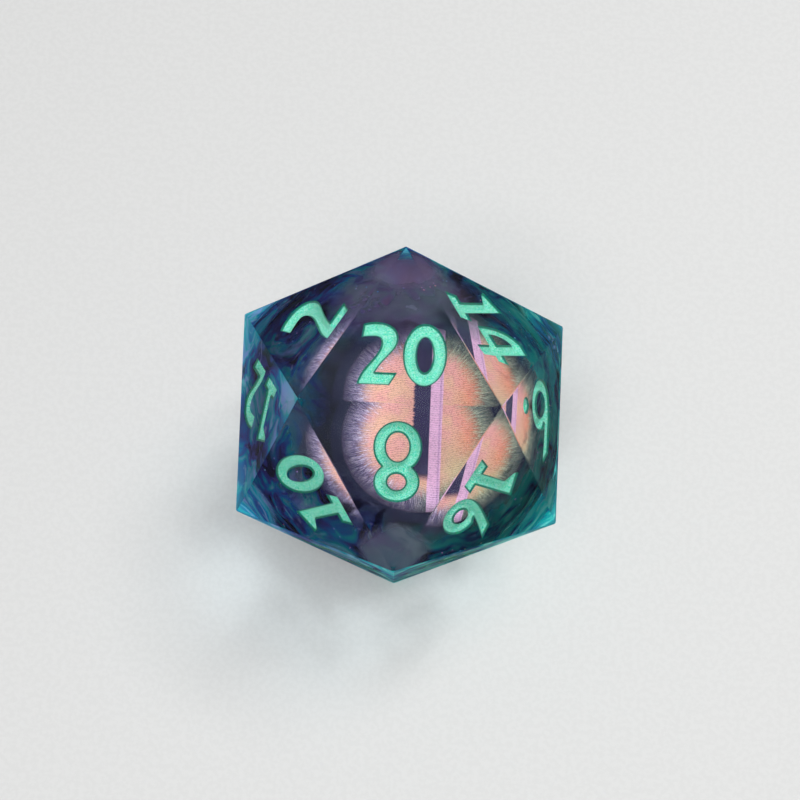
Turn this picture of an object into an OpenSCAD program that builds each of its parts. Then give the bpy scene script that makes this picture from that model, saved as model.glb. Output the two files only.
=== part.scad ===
// Twenty-sided liquid-core die: a clear cast body with painted numerals round a sealed capsule,
// in which a weighted eye floats and turns.
// Frame: millimetres, +Z up, face 20 on top, origin at the centre of the bottom face (face 1).

/* [Body] */
// Distance between two opposite faces
across_flats = 22; // [20:0.5:30]
// Radius of the round core that the clear body is cast over
core_r = 9.45; // [9.3:0.05:9.8]

/* [Numerals] */
// Height of the digits of a two-digit number
pair_h = 5; // [4.2:0.1:5.4]
// Height of a digit that stands alone
single_h = 6; // [4.8:0.1:6.6]
// Width of a numeral's stroke
stroke_w = 1; // [0.7:0.05:1.2]
// Depth of the engraving
engrave_d = 0.5; // [0.3:0.05:0.7]
// How far the paint stops below the face
paint_gap = 0.06; // [0.03:0.01:0.15]

/* [Capsule] */
// Outer radius of the clear capsule
capsule_r = 9.05; // [8.8:0.05:9.2]
// Wall of the capsule
capsule_wall = 0.45; // [0.3:0.05:0.6]
// Radius of the plug that closes the filling hole
plug_r = 0.7; // [0.4:0.1:1.2]

/* [Eye] */
// Radius of the floating eye
eye_r = 8.2; // [7.6:0.1:8.2]
// Radius of the printed iris disc
disc_r = 6.48; // [5.5:0.01:6.5]
// Thickness of the printed iris disc
disc_t = 0.3; // [0.2:0.1:0.6]
// How far the disc sits off the eye's middle, to the right
disc_right = 1.52; // [0:0.01:1.6]
// How far the disc sits off the eye's middle, downwards
disc_down = 0.43; // [0:0.01:0.5]
// Lean of the gaze away from straight up, towards the front
gaze_lean = 15.2; // [0:0.1:40]
// Radius of the steel weight under the disc
weight_r = 4.2; // [3:0.1:5]
// Height of the steel weight
weight_h = 2.4; // [1:0.1:3]
// Gap on each side of the liquid, where it slides on its neighbours
film_gap = 0.02; // [0.01:0.01:0.05]

/* [Hidden] */
$fn = 96;
phi = (1 + sqrt(5)) / 2;
edge = across_flats * sqrt(3) / phi / phi;
centre_h = across_flats / 2;
capsule_inner_r = capsule_r - capsule_wall;
curve_steps = 10;
arc_step = 9;
dot_r = 0.62;
dot_shift = 0.35;
digit_gap = 0.35;
pair_drop = 0.35;
single_rise = 0.15;

paint_green = [0.24, 0.86, 0.68];
resin_tint = [0.45, 0.72, 0.82, 0.35];

// Corners of the icosahedron in units of half an edge, before face 20 is tilted level
near_l = [-1, 0, phi];
near_r = [1, 0, phi];
crown = [0, phi, 1];
chin = [0, -phi, 1];
crown_back = [0, phi, -1];
upper_r = [phi, 1, 0];
lower_r = [phi, -1, 0];
upper_l = [-phi, 1, 0];
lower_l = [-phi, -1, 0];

// Each row: the number, the corner its digits point up to, then the other two corners.
// The face opposite a row's face carries 21 minus its number, and is its mirror through the centre.
FACES = [
    [20, crown, near_l, near_r],
    [8, chin, near_l, near_r],
    [14, upper_r, crown, near_r],
    [2, upper_l, crown, near_l],
    [16, lower_r, chin, near_r],
    [10, lower_l, chin, near_l],
    [6, lower_r, upper_r, near_r],
    [12, lower_l, upper_l, near_l],
    [4, crown_back, crown, upper_r],
    [18, crown_back, crown, upper_l],
];

// ---------------------------------------------------------------- face geometry

// Angle that levels face 20
level_tilt = atan(1 / phi / phi);

function levelled(v) =
    let (s = sin(level_tilt), c = cos(level_tilt))
    [v[0], v[1] * c - v[2] * s, v[1] * s + v[2] * c] * edge / 2;

// Corners of face n, the "up" corner first
function face_corners(n) =
    let (
        row = [for (f = FACES) if (f[0] == n || 21 - f[0] == n) f][0],
        way = row[0] == n ? 1 : -1
    )
    [for (i = [1:3]) levelled(row[i] * way)];

function unit(v) = v / norm(v);

// Carries flat numerals, drawn upright round the origin, onto face n with +Z pointing outwards
module on_face(n) {
    p = face_corners(n);
    mid = (p[0] + p[1] + p[2]) / 3;
    out = unit(mid);
    up = unit(p[0] - mid);
    right = cross(up, out);
    translate([0, 0, centre_h])
        multmatrix([
            [right[0], up[0], out[0], mid[0]],
            [right[1], up[1], out[1], mid[1]],
            [right[2], up[2], out[2], mid[2]],
            [0, 0, 0, 1],
        ])
            children();
}

// The solid die: all twenty faces, each wound clockwise as seen from outside
module icosahedron() {
    corners = [for (n = [1:20]) for (p = face_corners(n)) p];
    function wound(i) =
        let (a = corners[3 * i], b = corners[3 * i + 1], c = corners[3 * i + 2])
        cross(b - a, c - a) * a > 0 ? [3 * i, 3 * i + 2, 3 * i + 1] : [3 * i, 3 * i + 1, 3 * i + 2];
    translate([0, 0, centre_h])
        polyhedron(points = corners, faces = [for (i = [0:19]) wound(i)]);
}

module at_centre() {
    translate([0, 0, centre_h]) children();
}

// ---------------------------------------------------------------- numerals

// Point at share s of a cubic curve with control points b
function bezier(b, s) =
    b[0] * pow(1 - s, 3) + b[1] * 3 * s * pow(1 - s, 2) + b[2] * 3 * s * s * (1 - s) + b[3] * pow(s, 3);

// The curve's points, without its first one, so that curves join into one path
function curve_on(b) = [for (i = [1:curve_steps]) bezier(b, i / curve_steps)];

// Points on an oval round c from angle a to angle b
function arc(c, rx, ry, a, b) =
    let (steps = ceil(abs(b - a) / arc_step))
    [for (i = [0:steps]) let (t = a + (b - a) * i / steps) c + [rx * cos(t), ry * sin(t)]];

function oval(c, rx, ry) = [for (t = [0:arc_step:360 - arc_step]) c + [rx * cos(t), ry * sin(t)]];

// Each digit stands on y = 0, is h high with strokes w wide, and is centred on x = 0
module digit_0(h, w) {
    middle = [0, h / 2];
    difference() {
        polygon(oval(middle, 0.315 * h, h / 2));
        polygon(oval(middle, 0.315 * h - w, h / 2 - 1.1 * w));
    }
}

module digit_1(h, w) {
    stem = 0.03 * h;
    polygon([
        [stem + 0.45 * w, h], [stem + 0.50 * w, w], [0.28 * h, w], [0.20 * h, 0],
        [-0.28 * h, 0], [-0.20 * h, w], [stem - 0.50 * w, w], [stem - 0.50 * w, 0.70 * h],
        [-0.23 * h, 0.78 * h], [-0.26 * h, 0.85 * h],
    ]);
}

module digit_2(h, w) {
    hook_top = [-0.22, 0.965] * h;
    shoulder = [0.285, 0.74] * h;
    inner_bend = [0.045, 0.67] * h;
    heel = [-0.285, 0] * h;
    polygon(concat(
        [hook_top],
        curve_on([hook_top, [-0.02 * h, 1.045 * h], [0.285 * h, h], shoulder]),
        curve_on([shoulder, [0.285 * h, 0.56 * h], [0.10 * h, 0.46 * h], [-0.03 * h, w]]),
        [[0.285 * h, w], [0.18 * h, 0], heel],
        curve_on([heel, [-0.25 * h, 0.27 * h], [0.04 * h, 0.45 * h], inner_bend]),
        curve_on([inner_bend, [0.05 * h, 0.82 * h], [-0.12 * h, 0.76 * h], [-0.245 * h, 0.75 * h]])
    ));
}

module digit_3(h, w) {
    upper_ry = 0.26 * h;
    lower_ry = 0.30 * h;
    upper = [-0.03 * h, h - upper_ry];
    lower = [-0.03 * h, lower_ry];
    spur = h - 2 * upper_ry + w / 2;
    polygon(concat(
        arc(upper, 0.29 * h, upper_ry, 145, -48),
        arc(lower, 0.32 * h, lower_ry, 50, -145),
        arc(lower, 0.32 * h - w, lower_ry - w, -150, 75),
        [[-0.12 * h, spur - w * 0.8], [-0.12 * h, spur]],
        arc(upper, 0.29 * h - w, upper_ry - w, -65, 150)
    ));
}

module digit_4(h, w) {
    stem_l = -0.01 * h;
    stem_r = stem_l + w;
    bar = 0.26 * h;
    bar_top = 0.44 * h;
    left_end = [-0.365 * h, bar];
    peak = [stem_l, 0.77 * h];
    difference() {
        polygon(concat(
            [[stem_r, h], [stem_r, bar_top], [0.365 * h, bar_top], [0.29 * h, bar], [stem_r, bar],
             [stem_r - 0.03 * h, 0.03 * h], [stem_l - 0.01 * h, 0], [stem_l, bar], left_end],
            curve_on([left_end, [-0.34 * h, 0.66 * h], [-0.22 * h, 0.90 * h], [stem_l, h]])
        ));
        polygon(concat(
            [[stem_l, bar_top], peak],
            curve_on([peak, [-0.12 * h, 0.70 * h], [-0.18 * h, 0.60 * h], [-0.20 * h, bar_top]])
        ));
    }
}

module digit_5(h, w) {
    neck = [-0.05, 0.60] * h;
    belly = [0.31, 0.30] * h;
    inner_belly = [0.31 * h - w, 0.31 * h];
    end = [-0.24 * h, 0.02 * h + 0.9 * w];
    polygon(concat(
        [[0.26 * h, h], [0.22 * h, h - w], [-0.03 * h, h - w], neck],
        curve_on([neck, [0.14 * h, 0.66 * h], [0.31 * h, 0.52 * h], belly]),
        curve_on([belly, [0.31 * h, 0.08 * h], [0.10 * h, -0.03 * h], [-0.26 * h, 0.02 * h]]),
        [end],
        curve_on([end, [0, 0.17 * h], [inner_belly[0], 0.18 * h], inner_belly]),
        curve_on([inner_belly, [inner_belly[0], 0.45 * h], [-0.06 * h, 0.46 * h], [-0.25 * h, 0.42 * h]]),
        [[-0.20 * h, h]]
    ));
}

// A straight slanted stroke that runs into a round bowl
module digit_6(h, w) {
    rx = 0.31 * h;
    ry = 0.313 * h;
    bowl = [0, ry];
    tip = [0.235, 1] * h;
    difference() {
        polygon(concat(
            arc(bowl, rx, ry, 82, -180),
            curve_on([bowl - [rx, 0], [-rx, 0.50 * h], [-0.17 * h, 0.70 * h], [-0.02 * h, 0.96 * h]]),
            [tip],
            curve_on([tip, [0.13 * h, 0.86 * h], [0.02 * h, 0.70 * h], [-0.05 * h, 0.575 * h]])
        ));
        polygon(oval(bowl, rx - 0.95 * w, ry - 0.95 * w));
    }
}

module digit_7(h, w) {
    corner = [0.30, 0.90] * h;
    foot_l = [-0.17 * h, 0];
    polygon(concat(
        [[-0.28 * h, h - w], [-0.25 * h, h], [0.30 * h, h], corner],
        curve_on([corner, [0.16 * h, 0.62 * h], [0.06 * h, 0.36 * h], [0.05 * h, 0]]),
        [foot_l],
        curve_on([foot_l, [-0.15 * h, 0.30 * h], [-0.04 * h, 0.58 * h], [0.09 * h, h - w]])
    ));
}

// Two loops that meet at the waist, the lower one a little larger
module digit_8(h, w) {
    upper_rx = 0.275 * h;
    lower_rx = 0.29 * h;
    waist = 0.185 * h;
    upper_ry = 0.25 * h;
    upper_end = acos(waist / upper_rx);
    lower_end = acos(waist / lower_rx);
    waist_y = h - upper_ry * (1 + sin(upper_end));
    lower_ry = waist_y / (1 + sin(lower_end));
    upper = [0, h - upper_ry];
    lower = [0, lower_ry];
    difference() {
        polygon(concat(
            arc(upper, upper_rx, upper_ry, -upper_end, 180 + upper_end),
            arc(lower, lower_rx, lower_ry, 180 - lower_end + arc_step, 360 + lower_end - arc_step)
        ));
        polygon(oval(upper, upper_rx - w, upper_ry - 0.9 * w));
        polygon(oval(lower, lower_rx - 0.92 * w, lower_ry - 0.85 * w));
    }
}

module digit_9(h, w) {
    translate([0, h]) rotate(180) digit_6(h, w);
}

module digit(d, h, w) {
    if (d == 0) digit_0(h, w);
    if (d == 1) digit_1(h, w);
    if (d == 2) digit_2(h, w);
    if (d == 3) digit_3(h, w);
    if (d == 4) digit_4(h, w);
    if (d == 5) digit_5(h, w);
    if (d == 6) digit_6(h, w);
    if (d == 7) digit_7(h, w);
    if (d == 8) digit_8(h, w);
    if (d == 9) digit_9(h, w);
}

// Half the width of each digit, as a share of its height
half_widths = [0.315, 0.28, 0.285, 0.30, 0.365, 0.30, 0.31, 0.30, 0.29, 0.31];

// A digit on its own; 6 and 9 carry a dot to tell them apart
module single_number(n) {
    dotted = n == 6 || n == 9;
    translate([dotted ? -dot_shift : 0, single_rise - single_h / 2]) {
        digit(n, single_h, stroke_w);
        if (dotted)
            translate([half_widths[n] * single_h + 1.8 * dot_r, dot_r]) polygon(oval([0, 0], dot_r, dot_r));
    }
}

module paired_number(n) {
    tens = floor(n / 10);
    ones = n % 10;
    left = half_widths[tens] * pair_h;
    right = half_widths[ones] * pair_h;
    translate([(left - right) / 2, -pair_drop - pair_h / 2]) {
        translate([-digit_gap / 2 - left, 0]) digit(tens, pair_h, stroke_w);
        translate([digit_gap / 2 + right, 0]) digit(ones, pair_h, stroke_w);
    }
}

// The outline of face n's number, in the middle of the face
module number_outline(n) {
    if (n < 10)
        single_number(n);
    else
        paired_number(n);
}

// A number's recess reaches past the face; its paint fills the recess up to paint_gap
module number_recess(n) {
    on_face(n) translate([0, 0, -engrave_d]) linear_extrude(2 * engrave_d) number_outline(n);
}

module number_paint(n) {
    color(paint_green)
        on_face(n) translate([0, 0, -engrave_d]) linear_extrude(engrave_d - paint_gap) number_outline(n);
}

// ---------------------------------------------------------------- clear body and ink

module resin_body() {
    color(resin_tint)
        difference() {
            icosahedron();
            at_centre() sphere(core_r);
            for (n = [1:20]) number_recess(n);
        }
}

// One third of the tinted skin between the capsule and the clear body, from azimuth a
module ink_layer(a, tint) {
    color(tint)
        at_centre()
            rotate([0, 0, a])
                rotate_extrude(angle = 120)
                    difference() {
                        intersection() {
                            circle(core_r);
                            translate([0, -core_r]) square([core_r, 2 * core_r]);
                        }
                        circle(capsule_r);
                    }
}

module ink_layer_teal() { ink_layer(-60, [0.02, 0.55, 0.55]); }
module ink_layer_violet() { ink_layer(60, [0.30, 0.22, 0.60]); }
module ink_layer_blue() { ink_layer(180, [0.05, 0.25, 0.60]); }

// ---------------------------------------------------------------- capsule and liquid

// Half of a hollow ball, open at the middle plane; side is 1 above it and -1 below
module half_shell(outer_r, inner_r, side) {
    intersection() {
        difference() {
            sphere(outer_r);
            sphere(inner_r);
        }
        translate([-outer_r, -outer_r, side > 0 ? 0 : -outer_r])
            cube([2 * outer_r, 2 * outer_r, outer_r]);
    }
}

module plug_hole() {
    translate([0, 0, -2 * capsule_r]) cylinder(r = plug_r, h = 2 * capsule_r);
}

module capsule_upper() {
    color([0.85, 0.92, 0.95, 0.3]) at_centre() half_shell(capsule_r, capsule_inner_r, 1);
}

module capsule_lower() {
    color([0.80, 0.88, 0.92, 0.3])
        at_centre()
            difference() {
                half_shell(capsule_r, capsule_inner_r, -1);
                plug_hole();
            }
}

module fill_plug() {
    color([0.9, 0.9, 0.9])
        at_centre()
            intersection() {
                half_shell(capsule_r, capsule_inner_r, -1);
                plug_hole();
            }
}

module liquid_fill() {
    color([0.75, 0.85, 0.95, 0.2])
        at_centre()
            difference() {
                sphere(capsule_inner_r - film_gap);
                sphere(eye_r + film_gap);
            }
}

// ---------------------------------------------------------------- floating eye

// The eye's own frame: +Z along the gaze, the middle plane at z = 0
module along_gaze() {
    at_centre() rotate([gaze_lean, 0, 0]) children();
}

module disc_shape() {
    translate([disc_right, -disc_down, -disc_t]) cylinder(r = disc_r, h = disc_t);
}

module weight_shape() {
    translate([0, 0, -sqrt(eye_r * eye_r - weight_r * weight_r) + 0.4]) cylinder(r = weight_r, h = weight_h);
}

module half_ball(side) {
    intersection() {
        sphere(eye_r);
        translate([-eye_r, -eye_r, side > 0 ? 0 : -eye_r]) cube([2 * eye_r, 2 * eye_r, eye_r]);
    }
}

module eye_cup() {
    color([0.03, 0.03, 0.05])
        along_gaze()
            difference() {
                half_ball(-1);
                disc_shape();
                weight_shape();
            }
}

module eye_dome() {
    color([0.9, 0.95, 1, 0.25]) along_gaze() half_ball(1);
}

module iris_disc() {
    color([0.85, 0.58, 0.50]) along_gaze() disc_shape();
}

module ballast_weight() {
    color([0.6, 0.6, 0.62]) along_gaze() weight_shape();
}

// ---------------------------------------------------------------- nodes

resin_body();
ink_layer_teal();
ink_layer_blue();
ink_layer_violet();
capsule_upper();
capsule_lower();
fill_plug();
liquid_fill();
eye_cup();
eye_dome();
iris_disc();
ballast_weight();
number_paint(1);  // number_01
number_paint(2);  // number_02
number_paint(3);  // number_03
number_paint(4);  // number_04
number_paint(5);  // number_05
number_paint(6);  // number_06
number_paint(7);  // number_07
number_paint(8);  // number_08
number_paint(9);  // number_09
number_paint(10);  // number_10
number_paint(11);  // number_11
number_paint(12);  // number_12
number_paint(13);  // number_13
number_paint(14);  // number_14
number_paint(15);  // number_15
number_paint(16);  // number_16
number_paint(17);  // number_17
number_paint(18);  // number_18
number_paint(19);  // number_19
number_paint(20);  // number_20
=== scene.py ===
"""Looks of a liquid-core twenty-sided die: clear resin, ink veils, V-cut painted numerals, printed eye."""

import math
import random
from itertools import combinations

import bmesh
import bpy
from mathutils import Matrix, Vector
from mathutils.geometry import delaunay_2d_cdt


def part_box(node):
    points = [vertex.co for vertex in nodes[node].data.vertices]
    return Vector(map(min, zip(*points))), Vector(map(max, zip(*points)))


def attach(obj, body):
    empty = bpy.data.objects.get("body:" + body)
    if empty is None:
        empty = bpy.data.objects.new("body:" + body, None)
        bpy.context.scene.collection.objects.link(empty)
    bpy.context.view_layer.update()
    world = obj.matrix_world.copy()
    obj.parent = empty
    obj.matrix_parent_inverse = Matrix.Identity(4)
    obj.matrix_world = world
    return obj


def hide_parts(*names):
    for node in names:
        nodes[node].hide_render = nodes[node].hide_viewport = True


MM = 0.001
PHI = (1 + math.sqrt(5)) / 2

# Body and V-cut numbers, all in millimetres. Grid points keep CLOSEST grid steps from the outline.
BEVEL = 0.05
GROOVE_SLOPE = 1.05
GROOVE_FLOOR = 0.42
GROOVE_SOFTNESS = 0.04
GRID_STEP = 0.075
CLOSEST = 0.4
PAINT_LIFT = 0.02
PAINT_EDGE = 0.06
PAINT_TUCK = 0.003

# Ink: radii of its layers, spread of each corner's patch in degrees, depths of the pools under the faces
VEIL_RADIUS = 9.25
HAZE_RADIUS = 10.1
CORNER_RADIUS = 11.6
CORNER_SPREAD = 15
POOL_DEPTH = 0.5
POOL_EDGE_DEPTH = 0.12

# Eye: its ball, and the printed disc, which is off centre and leans towards the front
EYE_RADIUS = 8.2
GAZE_LEAN = 15.2
DISC_RIGHT = 1.52
DISC_DOWN = 0.43
IRIS_RADIUS = 5.68
DOME_CLEARANCE = 0.05

# Camera: its place as seen from the die's centre, and the line that it looks along
CAMERA_DISTANCE = 278.9
CAMERA_AZIMUTH, CAMERA_ELEVATION = 0.78, 63.63
VIEW_AZIMUTH, VIEW_ELEVATION = 0.79, 63.35
CAMERA_ROLL = 1.57
CAMERA_LENS = 170.4

# Directions from the die's centre: out of the clear window over the eye, and to the top and front corners
WINDOW_AZIMUTH, WINDOW_ELEVATION = 28, 62
CROWN_ELEVATION = 52.6
CHIN_ELEVATION = 10.8


# ---------------------------------------------------------------- small helpers


def rgb(r, g, b):
    """Linear colour from 0 to 255 display values."""

    def linear(v):
        v /= 255
        return v / 12.92 if v <= 0.04045 else ((v + 0.055) / 1.055) ** 2.4

    return linear(r), linear(g), linear(b), 1.0


def direction(azimuth, elevation):
    """Unit vector towards a place round the die: azimuth 0 is the front, 90 the right."""
    a, e = math.radians(azimuth), math.radians(elevation)
    return Vector((math.sin(a) * math.cos(e), -math.cos(a) * math.cos(e), math.sin(e)))


WINDOW = direction(WINDOW_AZIMUTH, WINDOW_ELEVATION)
CROWN = direction(180, CROWN_ELEVATION)
CHIN = direction(0, CHIN_ELEVATION)


class Shader:
    """Builds one material, a call per node. Each call returns the new node's main output."""

    def __init__(self, name):
        self.material = bpy.data.materials.new(name)
        self.material.use_nodes = True
        self.tree = self.material.node_tree
        self.tree.nodes.clear()

    def node(self, kind, inputs=None, **settings):
        made = self.tree.nodes.new("ShaderNode" + kind)
        for key, value in settings.items():
            setattr(made, key, value)
        for key, value in (inputs or {}).items():
            self.feed(made.inputs[key], value)
        return made

    def feed(self, socket, value):
        if isinstance(value, bpy.types.NodeSocket):
            self.tree.links.new(value, socket)
        elif value is not None:
            socket.default_value = value

    def math(self, operation, a, b=None, c=None, clamp=False):
        made = self.node("Math", {0: a, 1: b, 2: c}, operation=operation, use_clamp=clamp)
        return made.outputs[0]

    def vector(self, operation, a, b=None):
        made = self.node("VectorMath", {0: a, 1: b}, operation=operation)
        return made.outputs["Value" if operation in ("DOT_PRODUCT", "LENGTH") else "Vector"]

    def scaled(self, vector, factors):
        return self.vector("MULTIPLY", vector, factors)

    def split(self, vector):
        return self.node("SeparateXYZ", {0: vector}).outputs

    def joined(self, x, y, z):
        return self.node("CombineXYZ", {0: x, 1: y, 2: z}).outputs[0]

    def noise(self, vector, scale, detail=3.0, roughness=0.55, distortion=0.0):
        inputs = {"Vector": vector, "Scale": scale, "Detail": detail, "Roughness": roughness}
        inputs["Distortion"] = distortion
        return self.node("TexNoise", inputs).outputs[0]

    def spread_noise(self, vector, scale, detail=2.0):
        """Noise with three independent parts, as a vector round zero."""
        made = self.node("TexNoise", {"Vector": vector, "Scale": scale, "Detail": detail})
        return self.vector("SUBTRACT", made.outputs[1], (0.5, 0.5, 0.5))

    def cells(self, vector, scale):
        return self.node("TexVoronoi", {"Vector": vector, "Scale": scale}).outputs

    def step(self, value, low, high, out_low=0.0, out_high=1.0):
        """Smooth change from out_low to out_high as value goes from low to high."""
        inputs = {"Value": value, "From Min": low, "From Max": high, "To Min": out_low, "To Max": out_high}
        return self.node("MapRange", inputs, interpolation_type="SMOOTHSTEP").outputs[0]

    def blend(self, factor, a, b, how="MIX"):
        made = self.node("Mix", data_type="RGBA", blend_type=how)
        self.feed(made.inputs[0], factor)
        self.feed(made.inputs[6], a)
        self.feed(made.inputs[7], b)
        return made.outputs[2]

    def ramp(self, factor, stops):
        made = self.node("ValToRGB", {0: factor})
        elements = made.color_ramp.elements
        while len(elements) < len(stops):
            elements.new(1.0)
        for element, (place, colour) in zip(elements, stops):
            element.position = place
            element.color = colour
        return made.outputs[0]

    def bump(self, height, strength, distance):
        return self.node("Bump", {"Height": height, "Strength": strength, "Distance": distance}).outputs[0]

    def mix_shaders(self, factor, a, b):
        return self.node("MixShader", {0: factor, 1: a, 2: b}).outputs[0]

    def place(self):
        """Position in the die's own frame, in millimetres from its centre."""
        coordinates = self.node("TexCoord").outputs["Object"]
        moved = self.vector("SUBTRACT", coordinates, tuple(CENTRE * MM))
        return self.scaled(moved, (1 / MM,) * 3)

    def finish(self, surface):
        output = self.node("OutputMaterial")
        self.tree.links.new(surface, output.inputs["Surface"])
        return self.material


def mesh_object(name, points, faces, material, smooth=False):
    """A mesh whose points are given in millimetres in the row frame."""
    mesh = bpy.data.meshes.new(name)
    mesh.from_pydata([tuple(Vector(p) * MM) for p in points], [], faces)
    mesh.materials.append(material)
    if smooth:
        mesh.shade_smooth()
    made = bpy.data.objects.new(name, mesh)
    bpy.context.scene.collection.objects.link(made)
    return made


# ---------------------------------------------------------------- the die's geometry


def icosahedron(edge):
    """Its 12 corners, from the centre, with one face level on top, and its faces as corner triples."""
    tilt = Matrix.Rotation(math.atan(1 / PHI / PHI), 3, "X")
    corners = []
    for a in (-1, 1):
        for b in (-PHI, PHI):
            corners += [Vector((a, 0, b)), Vector((0, b, a)), Vector((b, a, 0))]
    faces = []
    for i, j, k in combinations(range(12), 3):
        sides = [corners[i] - corners[j], corners[j] - corners[k], corners[k] - corners[i]]
        if max(side.length for side in sides) < 2.01:
            outwards = (corners[j] - corners[i]).cross(corners[k] - corners[i]).dot(corners[i]) > 0
            faces.append((i, j, k) if outwards else (i, k, j))
    return [tilt @ corner * edge / 2 for corner in corners], faces


class Face:
    """One triangular face: its middle, the direction out of it, and flat axes across it."""

    def __init__(self, corners):
        self.middle = sum(corners, Vector()) / 3
        self.out = self.middle.normalized()
        self.across = (corners[0] - self.middle).normalized()
        self.along = self.out.cross(self.across)
        self.corners = [c + (self.middle - c).normalized() * 2 * BEVEL for c in corners]

    def flat(self, point):
        """Place on the face of a point measured from the die's centre."""
        offset = point - self.middle
        return Vector((offset.dot(self.across), offset.dot(self.along)))

    def raised(self, spot, height):
        """The row-frame point that is height above a place on the face."""
        return CENTRE + self.middle + self.across * spot[0] + self.along * spot[1] + self.out * height


def outline_loops(node, face):
    """Outlines of a CAD number, read off its top surface, as loops of places on the face."""
    bm = bmesh.new()
    bm.from_mesh(node.data)
    for v in bm.verts:
        v.co = v.co / MM - CENTRE
    bmesh.ops.remove_doubles(bm, verts=bm.verts, dist=0.002)
    bm.normal_update()
    bm.verts.index_update()
    level = max(v.co.dot(face.out) for v in bm.verts)
    top = set()
    for f in bm.faces:
        height = f.calc_center_median().dot(face.out)
        if f.normal.dot(face.out) > 0.9 and height > level - 0.02:
            top.add(f)
    rim = [e for e in bm.edges if sum(f in top for f in e.link_faces) == 1]
    following = {}
    for e in rim:
        for v in e.verts:
            following.setdefault(v.index, []).append(e.other_vert(v).index)
    spots = {v.index: face.flat(v.co) for v in bm.verts}
    bm.free()
    loops = []
    left = set(following)
    while left:
        start = min(left)
        loop, last, here = [start], None, start
        while True:
            options = [i for i in following[here] if i != last]
            last, here = here, options[0]
            if here == start:
                break
            loop.append(here)
        left -= set(loop)
        loops.append([spots[i] for i in loop])
    return loops


def distance_to_segments(spot, segments):
    nearest = 1e9
    for a, b in segments:
        side = b - a
        share = max(0.0, min(1.0, (spot - a).dot(side) / side.length_squared))
        nearest = min(nearest, (spot - a - side * share).length_squared)
    return math.sqrt(nearest)


def inside(spot, segments):
    """True if the place lies within the outlines, by counting the sides crossed on the way out."""
    crossed = False
    for a, b in segments:
        if (a.y > spot.y) != (b.y > spot.y):
            if spot.x < a.x + (spot.y - a.y) * (b.x - a.x) / (b.y - a.y):
                crossed = not crossed
    return crossed


def groove_depth(distance):
    """Depth of the V cut at a distance from its outline, with a softened floor."""
    wall = math.exp(-GROOVE_SLOPE * distance / GROOVE_SOFTNESS)
    floor = math.exp(-GROOVE_FLOOR / GROOVE_SOFTNESS)
    return -GROOVE_SOFTNESS * math.log(wall + floor)


def triangulated_face(face, loops):
    """Places on a face, each one's distance into the number, flat triangles, and which of them are painted."""
    spots = [face.flat(c) for c in face.corners]
    edges = []
    segments = []
    for loop in loops:
        first = len(spots)
        spots += loop
        for i in range(len(loop)):
            after = (i + 1) % len(loop)
            edges.append((first + i, first + after))
            segments.append((loop[i], loop[after]))
    outline_count = len(spots)
    low = [min(s[k] for s in spots[3:]) for k in (0, 1)]
    high = [max(s[k] for s in spots[3:]) for k in (0, 1)]
    distances = [0.0] * outline_count
    for i in range(int((high[0] - low[0]) / GRID_STEP)):
        for j in range(int((high[1] - low[1]) / GRID_STEP)):
            spot = Vector((low[0] + (i + 0.5 + 0.5 * (j % 2)) * GRID_STEP, low[1] + (j + 0.5) * GRID_STEP))
            if inside(spot, segments):
                away = distance_to_segments(spot, segments)
                if away > CLOSEST * GRID_STEP:
                    spots.append(spot)
                    distances.append(away)
    spots, _, triangles, sources, _, _ = delaunay_2d_cdt(spots, edges, [], 0, 1e-6)
    distances = [distances[source[0]] if source else 0.0 for source in sources]
    painted = []
    for triangle in triangles:
        middle = sum((spots[i] for i in triangle), Vector((0, 0))) / 3
        painted.append(inside(middle, segments))
    return spots, distances, triangles, painted


def build_die(faces, corners, numbers, nodes, resin, paint):
    """The clear body with its V-cut numbers, and a sheet of paint in each number."""
    points, polygons = [], []
    corner_index = {}
    sheets = {}
    for f, triple in enumerate(faces):
        face = Face([corners[i] for i in triple])
        name = numbers[f]
        spots, distances, triangles, painted = triangulated_face(face, outline_loops(nodes[name], face))
        first = len(points)
        depths = [groove_depth(d) if d > 0 else 0.0 for d in distances]
        points += [face.raised(spot, -depth) for spot, depth in zip(spots, depths)]
        polygons += [[first + i for i in triangle] for triangle in triangles]
        for corner, place in zip(triple, face.corners):
            flat = face.flat(place)
            nearest = min(range(len(spots)), key=lambda i: (spots[i] - flat).length_squared)
            corner_index[f, corner] = first + nearest
        lifts = [PAINT_LIFT * min(1.0, d / PAINT_EDGE) - PAINT_TUCK for d in distances]
        used = sorted({i for triangle, inked in zip(triangles, painted) if inked for i in triangle})
        order = {old: new for new, old in enumerate(used)}
        sheet_points = [face.raised(spots[i], lifts[i] - depths[i]) for i in used]
        sheet_faces = [[order[i] for i in t] for t, inked in zip(triangles, painted) if inked]
        sheet_name = name.replace("number", "paint")
        sheets[name] = mesh_object(sheet_name, sheet_points, sheet_faces, paint, smooth=True)
    polygons += bevel_polygons(faces, corner_index)
    body = mesh_object("cast_resin", points, polygons, resin)
    bm = bmesh.new()
    bm.from_mesh(body.data)
    bmesh.ops.recalc_face_normals(bm, faces=bm.faces)
    bm.to_mesh(body.data)
    bm.free()
    return body, sheets


def bevel_polygons(faces, corner_index):
    """The narrow strips along the edges and the small facets on the corners."""
    made = []
    for f, g in combinations(range(len(faces)), 2):
        shared = [c for c in faces[f] if c in faces[g]]
        if len(shared) == 2:
            a, b = shared
            made.append([corner_index[f, a], corner_index[f, b], corner_index[g, b], corner_index[g, a]])
    for corner in range(12):
        round_it = [f for f in range(len(faces)) if corner in faces[f]]
        ring = [round_it.pop(0)]
        while round_it:
            beside = next(f for f in round_it if len(set(faces[f]) & set(faces[ring[-1]])) == 2)
            round_it.remove(beside)
            ring.append(beside)
        made.append([corner_index[f, corner] for f in ring])
    return made


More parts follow.
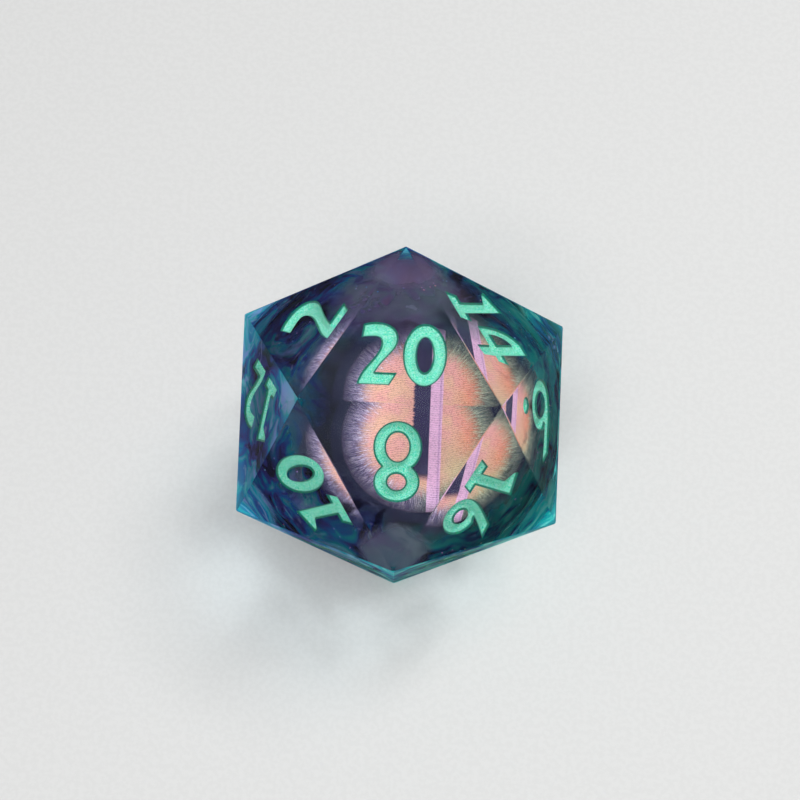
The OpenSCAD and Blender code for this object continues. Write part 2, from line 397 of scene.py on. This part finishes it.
def number_of_face(face_corners, nodes):
    """Name of the CAD number that lies just under the face: the one with no point far from it."""
    out = sum(face_corners, Vector()).normalized()

    def lowest(name):
        return min((v.co / MM - CENTRE).dot(out) for v in nodes[name].data.vertices)

    return max((n for n in nodes if n.startswith("number_")), key=lowest)


def ink_shell(name, radius, start, end, material, waviness=0.0, seed=0):
    """Part of a wavy ball round the die's centre, between two azimuths in degrees."""
    rng = random.Random(seed)
    waves = [(rng.uniform(2, 6), rng.uniform(0, 6.3), rng.choice((2, 3, 4, 5))) for _ in range(5)]
    columns, rows = 56, 72
    points, faces = [], []
    for i in range(columns + 1):
        azimuth = math.radians(start + (end - start) * i / columns)
        for j in range(rows + 1):
            height = math.pi * (j / rows - 0.5)
            wave = sum(math.sin(k * height + phase + turns * azimuth) for k, phase, turns in waves) / 5
            away = radius + waviness * wave * math.cos(height)
            points.append(CENTRE + away * Vector((
                math.cos(height) * math.cos(azimuth),
                math.cos(height) * math.sin(azimuth),
                math.sin(height),
            )))
    for i in range(columns):
        for j in range(rows):
            a = i * (rows + 1) + j
            faces.append([a, a + rows + 1, a + rows + 2, a + 1])
    made = mesh_object(name, points, faces, material, smooth=True)
    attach(made, "die")
    return made


def corner_caps(name, corners, radius, spread, material):
    """A small curved sheet of ink inside each corner, away from the faces."""
    points, faces = [], []
    rings, spokes = 6, 30
    for corner in corners:
        out = corner.normalized()
        side = out.orthogonal().normalized()
        up = out.cross(side)
        centre_index = len(points)
        points.append(CENTRE + out * radius)
        for i in range(1, rings + 1):
            angle = math.radians(spread) * i / rings
            for j in range(spokes):
                turn = 2 * math.pi * j / spokes
                flat = side * math.cos(turn) + up * math.sin(turn)
                points.append(CENTRE + radius * (out * math.cos(angle) + flat * math.sin(angle)))
        for j in range(spokes):
            after = (j + 1) % spokes
            faces.append([centre_index, centre_index + 1 + j, centre_index + 1 + after])
            for i in range(rings - 1):
                row = centre_index + 1 + i * spokes
                faces.append([row + j, row + spokes + j, row + spokes + after, row + after])
    made = mesh_object(name, points, faces, material, smooth=True)
    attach(made, "die")
    return made


def pooled_ink(name, corners, faces, material):
    """Ink just inside the faces turned away from the clear window, dished to pass under the numbers."""
    points, polygons = [], []
    for triple in faces:
        middle = sum((corners[i] for i in triple), Vector()) / 3
        out = middle.normalized()
        if out.dot(WINDOW) > 0.25:
            continue
        first = len(points)
        points += [CENTRE + corners[i] - out * POOL_EDGE_DEPTH for i in triple]
        points += [CENTRE + middle.lerp(corners[i], 0.7) - out * POOL_DEPTH for i in triple]
        polygons.append([first + 3, first + 4, first + 5])
        for i in range(3):
            after = (i + 1) % 3
            polygons.append([first + i, first + after, first + 3 + after, first + 3 + i])
    made = mesh_object(name, points, polygons, material)
    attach(made, "die")
    return made


def glitter(name, count, material):
    """Tiny six-sided flakes scattered through the resin round the capsule, clear of the window."""
    rng = random.Random(11)
    points, polygons = [], []
    while len(polygons) < count:
        out = Vector((rng.gauss(0, 1), rng.gauss(0, 1), rng.gauss(0, 1))).normalized()
        if out.dot(WINDOW) > 0.5:
            continue
        middle = CENTRE + out * rng.uniform(9.5, 10.3)
        side = out.orthogonal().normalized()
        side.rotate(Matrix.Rotation(rng.uniform(0, math.pi), 3, out))
        tilted = (out.cross(side) + out * rng.uniform(-0.5, 0.5)).normalized()
        half = rng.uniform(0.03, 0.075)
        first = len(points)
        for i in range(6):
            turn = math.pi * i / 3
            points.append(middle + (side * math.cos(turn) + tilted * math.sin(turn)) * half)
        polygons.append([first + i for i in range(6)])
    made = mesh_object(name, points, polygons, material)
    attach(made, "die")
    return made


def dome_cap(name, radius, lean, clearance, material):
    """The curved outside of the eye's clear dome, ending just short of the printed disc."""
    gaze = direction(0, 90 - lean)
    side = Vector((1, 0, 0))
    up = gaze.cross(side)
    rings, spokes = 24, 64
    widest = math.acos(clearance / radius)
    points, polygons = [CENTRE + gaze * radius], []
    for i in range(1, rings + 1):
        angle = widest * i / rings
        for j in range(spokes):
            turn = 2 * math.pi * j / spokes
            flat = side * math.cos(turn) + up * math.sin(turn)
            points.append(CENTRE + radius * (gaze * math.cos(angle) + flat * math.sin(angle)))
    for j in range(spokes):
        after = (j + 1) % spokes
        polygons.append([0, 1 + j, 1 + after])
        for i in range(rings - 1):
            row = 1 + i * spokes
            polygons.append([row + j, row + spokes + j, row + spokes + after, row + after])
    made = mesh_object(name, points, polygons, material, smooth=True)
    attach(made, "eye")
    return made


# ---------------------------------------------------------------- materials


def clear_to_lamps(s, surface, tint):
    """The surface for what is seen, and plain tinted clearness for light on its way in."""
    shadow = s.node("LightPath").outputs["Is Shadow Ray"]
    clear = s.node("BsdfTransparent", {"Color": tint}).outputs[0]
    return s.mix_shaders(shadow, surface, clear)


def resin_material():
    """Polished clear resin. Its outer gloss is held back, since the floor round it is pale."""
    s = Shader("clear_cast_resin")
    place = s.place()
    smudge = s.step(s.noise(place, 0.6, 4.0, 0.6), 0.45, 0.75, 0.0, 0.06)
    normal = s.bump(s.noise(place, 0.25, 2.0), 0.05, 0.0001)
    bent = s.node("BsdfRefraction", {
        "Color": (0.93, 0.975, 0.985, 1),
        "IOR": 1.5,
        "Roughness": 0.0,
        "Normal": normal,
    })
    mirrored = s.node("BsdfGlossy", {"Color": (1, 1, 1, 1), "Roughness": smudge, "Normal": normal})
    from_within = s.node("NewGeometry").outputs["Backfacing"]
    fresnel = s.node("Fresnel", {"IOR": 1.5, "Normal": normal}).outputs[0]
    share = s.math("MULTIPLY", fresnel, s.math("MULTIPLY_ADD", from_within, 0.85, 0.15))
    surface = s.mix_shaders(share, bent.outputs[0], mirrored.outputs[0])
    return s.finish(clear_to_lamps(s, surface, (0.92, 0.96, 0.97, 1)))


def paint_material(outward):
    """Pearlescent mint paint: dark green at the rim, as painted shade on the steep groove walls there, and
    pale and grainy deeper in the cut, where the near-white end of the grain is partly painted glints of the
    pearl flakes.
    """
    s = Shader("mint_pearl_paint")
    place = s.place()
    grain = s.noise(place, 11.0, 3.0, 0.75)
    flake = s.cells(place, 9.0)
    level = 0.0
    for out in outward:
        level = s.math("MAXIMUM", level, s.vector("DOT_PRODUCT", place, tuple(out)))
    depth = s.math("SUBTRACT", across_flats / 2, level)
    # Grain from saturated mint to near-white: the paint's own grain, and partly painted glints of its pearl
    # flakes.
    body = s.blend(s.step(grain, 0.38, 0.62), rgb(20, 228, 184), rgb(186, 255, 238))
    # Painted shade: dark green where the cut is shallower than about 0.1 mm, on the steep walls along the rim.
    past_painted_rim_shade = s.step(depth, 0.08, 0.15)
    colour = s.blend(past_painted_rim_shade, rgb(0, 116, 96), body)
    colour = s.blend(0.3, colour, flake["Color"], "SOFT_LIGHT")
    normal = s.bump(s.math("ADD", grain, flake["Distance"]), 1.0, 0.00011)
    matte = s.node("BsdfPrincipled", {
        "Base Color": colour,
        "Roughness": 0.35,
        "Specular IOR Level": 0.3,
        "Normal": normal,
    })
    sparkle = s.bump(s.math("ADD", grain, flake["Distance"]), 1.0, 0.0003)
    sheen = s.node("BsdfGlossy", {"Color": rgb(190, 255, 238), "Roughness": 0.26, "Normal": sparkle})
    # Little gloss on the rim, so that its painted shade stays dark.
    share = s.math("MULTIPLY_ADD", past_painted_rim_shade, 0.2, 0.03)
    return s.finish(s.mix_shaders(share, matte.outputs[0], sheen.outputs[0]))


def iris_material():
    """Halftone print of a slit pupil, on the disc's own flat axes u (right) and v (up the disc).

    Peach in the middle, fibres round the rim, and a pale stripe to the right of the slit.
    """
    s = Shader("printed_iris")
    lean = math.radians(GAZE_LEAN)
    place = s.place()
    up_the_disc = (0, math.cos(lean), math.sin(lean))
    u = s.math("SUBTRACT", s.split(place)[0], DISC_RIGHT)
    v = s.math("ADD", s.vector("DOT_PRODUCT", place, up_the_disc), DISC_DOWN)
    flat = s.joined(u, v, 0.0)
    radius = s.vector("LENGTH", flat)
    spoke = s.vector("NORMALIZE", flat)

    outwards = s.joined(0.0, 0.0, s.math("MULTIPLY", radius, 0.8))
    fibre_place = s.vector("ADD", s.scaled(spoke, (24, 24, 24)), outwards)
    fibres = s.noise(fibre_place, 1.8, 5.0, 0.75, 0.5)
    blotch = s.noise(flat, 0.55, 3.0, 0.55)
    soft_radius = s.math("ADD", radius, s.math("MULTIPLY_ADD", fibres, 2.6, -1.3))

    warm = s.blend(s.step(blotch, 0.38, 0.62), rgb(200, 136, 130), rgb(197, 146, 124))
    warm = s.blend(s.step(u, 1.8, 4.6), warm, rgb(184, 98, 68))
    lower_right = s.math("MULTIPLY", s.step(u, 0.5, 3.5), s.step(v, 0.2, -2.6))
    warm = s.blend(lower_right, warm, rgb(178, 156, 118))
    fringe_left = s.ramp(fibres, [
        (0.32, rgb(26, 24, 40)),
        (0.45, rgb(76, 66, 94)),
        (0.54, rgb(140, 120, 146)),
        (0.66, rgb(218, 200, 212)),
    ])
    fringe_right = s.ramp(fibres, [
        (0.32, rgb(26, 28, 34)),
        (0.46, rgb(86, 92, 84)),
        (0.56, rgb(140, 140, 118)),
        (0.68, rgb(204, 188, 158)),
    ])
    fringe = s.blend(s.step(u, -1.0, 1.6), fringe_left, fringe_right)
    colour = s.blend(s.step(soft_radius, 3.4, 4.7), warm, fringe)
    colour = s.blend(s.step(soft_radius, 4.1, 6.1, 0.0, 0.95), colour, rgb(34, 28, 44))

    stripe = band(s, u, 1.12, 0.44, 0.06)
    stripe = s.math("MULTIPLY", stripe, s.step(s.math("ABSOLUTE", v), 6.2, 4.6))
    colour = s.blend(s.math("MULTIPLY", stripe, 0.85), colour, rgb(202, 152, 184))
    hairline = band(s, u, 1.42, 0.05, 0.04)
    colour = s.blend(s.math("MULTIPLY", hairline, 0.35), colour, rgb(120, 84, 130))

    ragged = s.math("MULTIPLY_ADD", s.noise(s.scaled(flat, (1.0, 7.0, 1.0)), 1.4, 3.0), 0.5, -0.25)
    left_edge = s.step(s.math("ADD", u, ragged), -0.62, -0.44)
    right_edge = s.step(u, 0.72, 0.66)
    ends = s.math("MULTIPLY", s.step(v, -3.4, -2.6), s.step(v, 5.4, 4.8))
    pupil = s.math("MULTIPLY", s.math("MULTIPLY", left_edge, right_edge), ends)
    colour = s.blend(pupil, colour, rgb(52, 44, 70))

    rim = s.step(radius, IRIS_RADIUS - 0.06, IRIS_RADIUS + 0.06)
    colour = s.blend(rim, colour, rgb(28, 26, 42))

    dots = s.cells(s.scaled(flat, (1.0, 1.5, 1.0)), 6.0)["Distance"]
    sway = s.math("MULTIPLY_ADD", s.math("SINE", s.math("MULTIPLY", u, 1.3)), 0.25, v)
    rows = s.math("SINE", s.math("MULTIPLY", sway, 36.0))
    screen = s.math("ADD", s.step(dots, 0.2, 0.55, 0.8, 1.12), s.math("MULTIPLY", rows, 0.12))
    colour = s.blend(1.0, colour, s.joined(screen, screen, screen), "MULTIPLY")
    print_surface = s.node("BsdfPrincipled", {
        "Base Color": colour,
        "Roughness": 0.55,
        "Specular IOR Level": 0.06,
    })
    return s.finish(print_surface.outputs[0])


def band(s, value, middle, half_width, softness):
    """1 within half_width of middle, falling to 0 over softness."""
    away = s.math("ABSOLUTE", s.math("SUBTRACT", value, middle))
    return s.step(away, half_width + softness, half_width)


def ink_colour(s, place):
    """Swirled ink, one field for every layer: indigo to the left, teal to the right, brighter outwards."""
    warped = s.vector("ADD", place, s.scaled(s.spread_noise(place, 0.18), (9, 9, 9)))
    swirl = s.noise(warped, 0.26, 3.0, 0.55, 0.8)
    streak = s.noise(s.scaled(warped, (1.0, 0.35, 1.6)), 0.7, 4.0, 0.65)
    blues = s.ramp(swirl, [
        (0.36, rgb(24, 20, 50)),
        (0.44, rgb(64, 60, 146)),
        (0.50, rgb(30, 106, 184)),
        (0.55, rgb(0, 162, 178)),
        (0.64, rgb(146, 162, 226)),
    ])
    teals = s.ramp(swirl, [
        (0.36, rgb(10, 20, 42)),
        (0.43, rgb(14, 86, 148)),
        (0.49, rgb(0, 158, 172)),
        (0.56, rgb(24, 196, 186)),
        (0.66, rgb(150, 236, 226)),
    ])
    sideways = s.vector("DOT_PRODUCT", place, tuple(direction(85, -10)))
    colour = s.blend(s.step(s.math("MULTIPLY_ADD", swirl, 6.0, sideways), -1.0, 7.0), blues, teals)
    pale = s.blend(s.step(swirl, 0.4, 0.6), rgb(150, 146, 206), rgb(120, 220, 214))
    colour = s.blend(s.step(streak, 0.58, 0.70, 0.0, 0.8), colour, pale)
    away = s.vector("LENGTH", place)
    off_crown = s.step(s.vector("DOT_PRODUCT", s.vector("NORMALIZE", place), tuple(CROWN)), 0.97, 0.85)
    glow = s.math("MULTIPLY", s.step(away, 11.0, 13.4, 0.0, 0.45), off_crown)
    colour = s.blend(glow, colour, rgb(84, 214, 212))
    outer = s.step(away, 9.4, 12.2, 0.45, 1.0)
    return s.blend(outer, rgb(10, 11, 24), colour), swirl


def ink_shader(s, colour, cover):
    """Ink that hides what is behind it by cover, but lets light in to what it surrounds."""
    matte = s.node("BsdfPrincipled", {"Base Color": colour, "Roughness": 0.6, "Specular IOR Level": 0.0})
    through = s.node("BsdfTranslucent", {"Color": colour}).outputs[0]
    lit = s.mix_shaders(0.45, matte.outputs[0], through)
    clear = s.node("BsdfTransparent").outputs[0]
    shadow = s.node("LightPath").outputs["Is Shadow Ray"]
    cover = s.math("MULTIPLY", cover, s.math("SUBTRACT", 1.0, shadow))
    return s.mix_shaders(cover, clear, lit)


def ink_material(name, window_start, window_end, densest, mauve=0.0, mauve_and_reflection_towards=(), fade_from=()):
    """Ink veil: clear in front of the eye, thicker all round it, with mauve in the given directions; towards
    the crown that mauve is a painted reflection of a lamp above and behind the die, mirrored in the top face.

    With fade_from, the ink shows only near those directions from the die's centre.
    """
    s = Shader(name)
    place = s.place()
    colour, swirl = ink_colour(s, place)
    outwards = s.vector("NORMALIZE", place)
    facing = s.vector("DOT_PRODUCT", outwards, tuple(WINDOW))
    wisps = s.math("MULTIPLY_ADD", swirl, 0.9, -0.45)
    edge = s.math("ADD", facing, wisps)
    clear_within = math.cos(math.radians(window_start))
    dense_beyond = math.cos(math.radians(window_end))
    cover = s.step(edge, clear_within, dense_beyond, 0.0, densest)
    # Mauve towards each given direction: towards the crown it is a painted reflection of a lamp above and
    # behind the die.
    for towards in mauve_and_reflection_towards:
        near = s.math("MULTIPLY_ADD", wisps, 0.4, s.vector("DOT_PRODUCT", outwards, tuple(towards)))
        haze = s.step(near, 0.74, 0.98, 0.0, mauve)
        colour = s.blend(haze, colour, rgb(112, 90, 112))
        cover = s.math("MAXIMUM", cover, haze)
    if fade_from:
        nearest = 0.0
        for towards in fade_from:
            nearest = s.math("MAXIMUM", nearest, s.vector("DOT_PRODUCT", outwards, tuple(towards)))
        spread = s.math("MULTIPLY_ADD", wisps, 0.03, nearest)
        gone, full = (math.cos(math.radians(angle)) for angle in (14, 7))
        cover = s.math("MULTIPLY", cover, s.step(spread, gone, full))
    return s.finish(ink_shader(s, colour, cover))


def pooled_ink_material():
    """Ink that sank before the resin set: nearly solid, over the faces turned away from the window."""
    s = Shader("pooled_ink")
    colour, swirl = ink_colour(s, s.place())
    return s.finish(ink_shader(s, colour, s.step(swirl, 0.25, 0.4, 1.0, 0.93)))


def glitter_material():
    """Foil flakes whose colour changes from one to the next."""
    s = Shader("glitter_foil")
    cell = s.vector("FLOOR", s.scaled(s.place(), (4, 4, 4)))
    hue = s.node("TexWhiteNoise", {"Vector": cell}).outputs["Value"]
    colour = s.ramp(hue, [
        (0.0, rgb(90, 230, 230)),
        (0.35, rgb(70, 170, 255)),
        (0.65, rgb(200, 150, 255)),
        (0.85, rgb(255, 150, 170)),
        (1.0, rgb(210, 255, 120)),
    ])
    foil = s.node("BsdfPrincipled", {"Base Color": colour, "Metallic": 0.6, "Roughness": 0.3})
    return s.finish(foil.outputs[0])


def matched_material(name, tint, show):
    """A clear inner part: its neighbours bend light as it does, so only a trace of it shows."""
    s = Shader(name)
    trace = s.step(s.noise(s.place(), 0.5, 3.0), 0.4, 0.7, 0.2 * show, show)
    clear = s.node("BsdfTransparent", {"Color": tint}).outputs[0]
    skin = s.node("BsdfPrincipled", {"Base Color": (0.5, 0.58, 0.85, 1), "Roughness": 0.3}).outputs[0]
    return s.finish(s.mix_shaders(trace, clear, skin))


def cup_material():
    """Black moulded plastic, slightly uneven in gloss."""
    s = Shader("black_cup_plastic")
    place = s.place()
    colour = s.blend(s.step(s.noise(place, 0.8, 3.0), 0.4, 0.7), rgb(10, 9, 18), rgb(24, 20, 40))
    body = s.node("BsdfPrincipled", {
        "Base Color": colour,
        "Roughness": s.step(s.noise(place, 2.0), 0.3, 0.7, 0.45, 0.6),
        "Specular IOR Level": 0.1,
    })
    return s.finish(body.outputs[0])


def steel_material():
    """Plain steel with fine turning rings."""
    s = Shader("turned_steel")
    place = s.place()
    rings = s.noise(s.joined(0.0, 0.0, s.math("MULTIPLY", s.vector("LENGTH", place), 8.0)), 1.0, 2.0)
    body = s.node("BsdfPrincipled", {
        "Base Color": s.blend(rings, rgb(150, 150, 154), rgb(188, 188, 192)),
        "Metallic": 1.0,
        "Roughness": s.step(rings, 0.3, 0.7, 0.25, 0.4),
    })
    return s.finish(body.outputs[0])


def floor_material():
    """Plain pale board with a barely visible tooth."""
    s = Shader("pale_floor")
    coordinates = s.node("TexCoord").outputs["Object"]
    speck = s.noise(coordinates, 2500.0, 2.0)
    colour = s.blend(s.step(speck, 0.4, 0.6), rgb(198, 198, 197), rgb(201, 201, 200))
    return s.finish(s.node("BsdfPrincipled", {"Base Color": colour, "Roughness": 0.7}).outputs[0])


# ---------------------------------------------------------------- stage


def add_floor():
    half = 400
    corners = [(-half, -half, -0.02), (half, -half, -0.02), (half, half, -0.02), (-half, half, -0.02)]
    floor = mesh_object("floor", corners, [[0, 1, 2, 3]], floor_material())


def add_soft_box(name, azimuth, elevation, distance, size, power, colour=(1, 1, 1)):
    """Square soft light that faces the die. Distance and size are in millimetres."""
    lamp = bpy.data.lights.new(name, "AREA")
    lamp.shape = "SQUARE"
    lamp.size = size * MM
    lamp.energy = power
    lamp.color = colour
    made = bpy.data.objects.new(name, lamp)
    towards = direction(azimuth, elevation)
    made.location = (CENTRE + towards * distance) * MM
    made.rotation_euler = (-towards).to_track_quat("-Z", "Y").to_euler()
    bpy.context.scene.collection.objects.link(made)


def add_world(strength):
    world = bpy.data.worlds.new("soft_studio")
    world.use_nodes = True
    background = world.node_tree.nodes["Background"]
    background.inputs["Color"].default_value = (0.93, 0.96, 1.0, 1.0)
    background.inputs["Strength"].default_value = strength
    bpy.context.scene.world = world


def add_camera():
    data = bpy.data.cameras.new("photo_camera")
    data.lens = CAMERA_LENS
    data.sensor_width = 36
    data.clip_start = 0.01
    data.clip_end = 10
    camera = bpy.data.objects.new("photo_camera", data)
    backwards = direction(VIEW_AZIMUTH, VIEW_ELEVATION)
    level = (-backwards).to_track_quat("-Z", "Y").to_matrix()
    rolled = level @ Matrix.Rotation(math.radians(CAMERA_ROLL), 3, "Z")
    place = (CENTRE + direction(CAMERA_AZIMUTH, CAMERA_ELEVATION) * CAMERA_DISTANCE) * MM
    camera.matrix_world = Matrix.Translation(place) @ rolled.to_4x4()
    bpy.context.scene.collection.objects.link(camera)
    bpy.context.scene.camera = camera


# ---------------------------------------------------------------- build

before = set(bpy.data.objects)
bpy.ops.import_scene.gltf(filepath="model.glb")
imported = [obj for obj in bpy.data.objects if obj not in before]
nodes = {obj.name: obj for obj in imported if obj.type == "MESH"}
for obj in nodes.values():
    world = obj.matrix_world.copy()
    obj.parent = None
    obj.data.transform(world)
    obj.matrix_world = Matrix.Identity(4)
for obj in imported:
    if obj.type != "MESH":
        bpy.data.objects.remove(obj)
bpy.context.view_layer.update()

low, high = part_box("resin_body")
across_flats = (high.z - low.z) / MM
CENTRE = Vector((0, 0, across_flats / 2))
edge_length = across_flats * math.sqrt(3) / PHI**2

corners, faces = icosahedron(edge_length)
numbers = [number_of_face([corners[i] for i in triple], nodes) for triple in faces]
outward = [sum((corners[i] for i in triple), Vector()).normalized() for triple in faces]
resin, paint = resin_material(), paint_material(outward)
body, sheets = build_die(faces, corners, numbers, nodes, resin, paint)
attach(body, "die")
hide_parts("resin_body")
for name, sheet in sheets.items():
    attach(sheet, "die")
    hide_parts(name)

# Its mauve towards the crown is a painted reflection of a lamp above and behind the die.
inner_ink = ink_material("ink_veil", 46, 66, 0.95, mauve=0.66, mauve_and_reflection_towards=[CROWN])
for colour, start in (("teal", -60), ("violet", 60), ("blue", 180)):
    veil = ink_shell(f"ink_veil_{colour}", VEIL_RADIUS, start, start + 120, inner_ink, 0.1, seed=5)
    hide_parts(f"ink_layer_{colour}")
outer_ink = ink_material("ink_haze", 66, 84, 0.92)
ink_shell("ink_haze", HAZE_RADIUS, 0, 360, outer_ink, 0.2, seed=8)
corner_ways = [corner.normalized() for corner in corners]
# Mauve towards the crown corner is a painted reflection of a lamp above and behind the die; towards the chin
# corner it is a plain mauve patch.
corner_ink = ink_material(
    "ink_corner", 40, 75, 0.8, mauve=0.85, mauve_and_reflection_towards=[CROWN, CHIN], fade_from=corner_ways
)
corner_caps("ink_corner_caps", corners, CORNER_RADIUS, CORNER_SPREAD, corner_ink)
pooled_ink("ink_pooled", corners, faces, pooled_ink_material())

glitter("glitter_flakes", 420, glitter_material())

clear_dome = matched_material("dome_clear", (1.0, 1.0, 1.0, 1), 0.005)
dome = dome_cap("dome_skin", EYE_RADIUS, GAZE_LEAN, DOME_CLEARANCE, clear_dome)
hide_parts("eye_dome")

clear_shell = matched_material("capsule_clear", (0.99, 0.995, 1.0, 1), 0.012)
clear_liquid = matched_material("liquid_clear", (0.995, 1.0, 1.0, 1), 0.003)
for node, material in (
    ("capsule_upper", clear_shell),
    ("capsule_lower", clear_shell),
    ("fill_plug", matched_material("plug_clear", (0.9, 0.92, 0.93, 1), 0.2)),
    ("liquid_fill", clear_liquid),
    ("eye_cup", cup_material()),
    ("iris_disc", iris_material()),
    ("ballast_weight", steel_material()),
):
    nodes[node].data.materials.clear()
    nodes[node].data.materials.append(material)

add_floor()
add_world(0.14)
add_soft_box("key", 132, 60, 420, 170, 1.35)
add_soft_box("fill", -20, 58, 450, 200, 1.5)
add_camera()
bpy.context.scene.view_settings.view_transform = "Standard"
bpy.context.scene.cycles.transparent_max_bounces = 48
